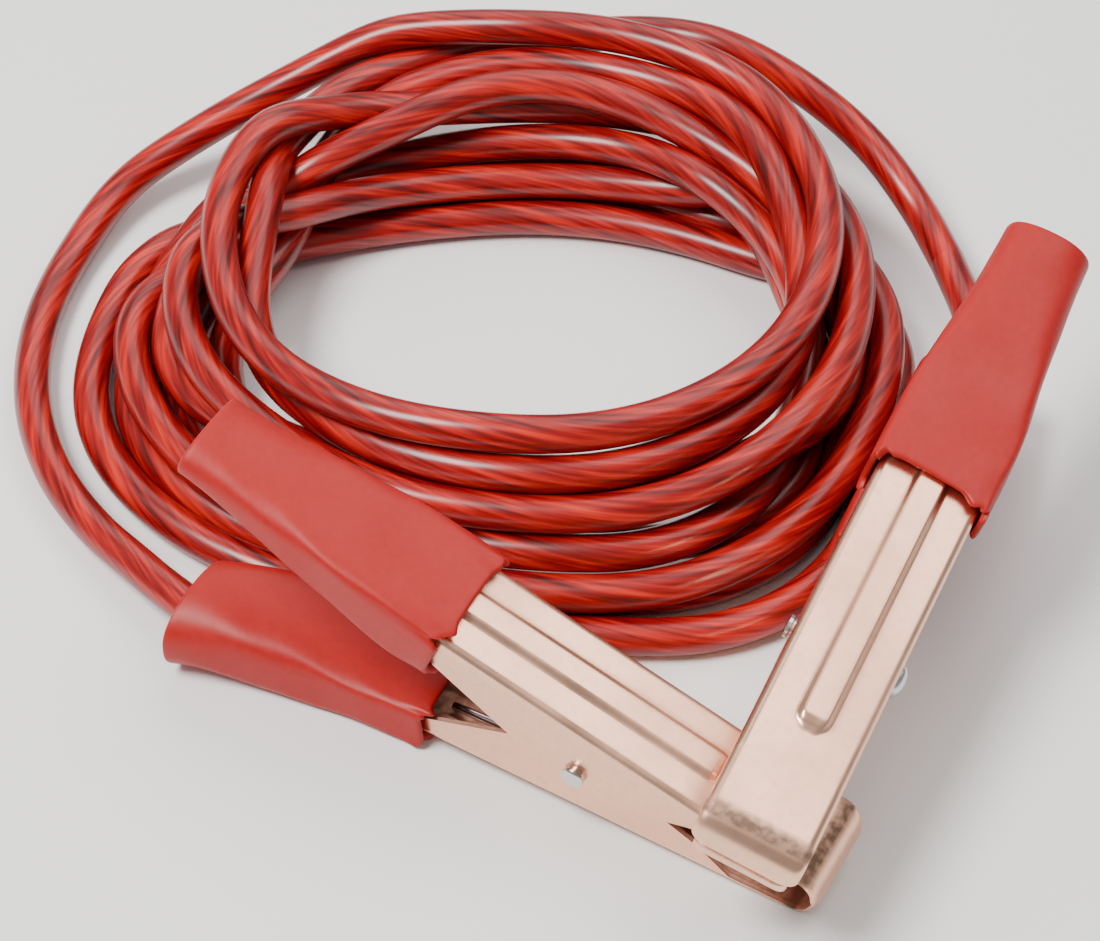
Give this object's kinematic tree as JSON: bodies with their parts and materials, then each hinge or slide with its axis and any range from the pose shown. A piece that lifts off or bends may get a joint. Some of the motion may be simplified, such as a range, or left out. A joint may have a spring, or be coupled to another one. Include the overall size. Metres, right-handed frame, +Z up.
{
  "type": "car jumper cable",
  "caption": "Red car jumper cable wound in an oval coil, with a sprung copper-coloured crocodile clamp in red sleeves on each end; the clamps lie in front, one across the other.",
  "frame": {"origin": "on the floor, under the middle of the box round the two clamps, with the cable left out", "axes": "+Z up, +X to the right and +Y away in the view in which the clamps lie in front of the coil"},
  "size_m": [0.2312, 0.2489, 0.061],
  "materials": {
    "cable": "glossy, slightly clear red sheath",
    "grip": "satin red soft sleeve",
    "jaw": "satin copper-coloured plating on pressed sheet steel",
    "zinc": "bright zinc"
  },
  "bodies": {
    "root": {"cable_coil": "cable", "cable_lead_a": "cable", "cable_lead_b": "cable", "clamp_a_lower_jaw": "jaw", "clamp_a_lower_grip": "grip", "clamp_a_rivet": "zinc", "clamp_a_spring": "zinc"},
    "clamp_a_upper": {"clamp_a_upper_jaw": "jaw", "clamp_a_upper_grip": "grip", "clamp_b_lower_jaw": "jaw", "clamp_b_lower_grip": "grip", "clamp_b_rivet": "zinc", "clamp_b_spring": "zinc"},
    "clamp_b_upper": {"clamp_b_upper_jaw": "jaw", "clamp_b_upper_grip": "grip"}
  },
  "joints": [
    {"name": "clamp_a_pivot", "type": "hinge", "parent": "root", "child": "clamp_a_upper", "pos_m": [-0.00246, -0.0283, 0.01514], "axis": [-0.4886, -0.8725, 0], "range_deg": [0, 14], "stiffness_Nm_per_rad": 1.5, "springref_deg": -28.65, "deforming": ["clamp_a_spring"]},
    {"name": "clamp_b_pivot", "type": "hinge", "parent": "clamp_a_upper", "child": "clamp_b_upper", "pos_m": [0.0446, -0.02009, 0.03033], "axis": [-0.8851, 0.4009, 0.2363], "range_deg": [0, 14], "stiffness_Nm_per_rad": 1.5, "springref_deg": -28.65, "deforming": ["clamp_b_spring"]}
  ]
}
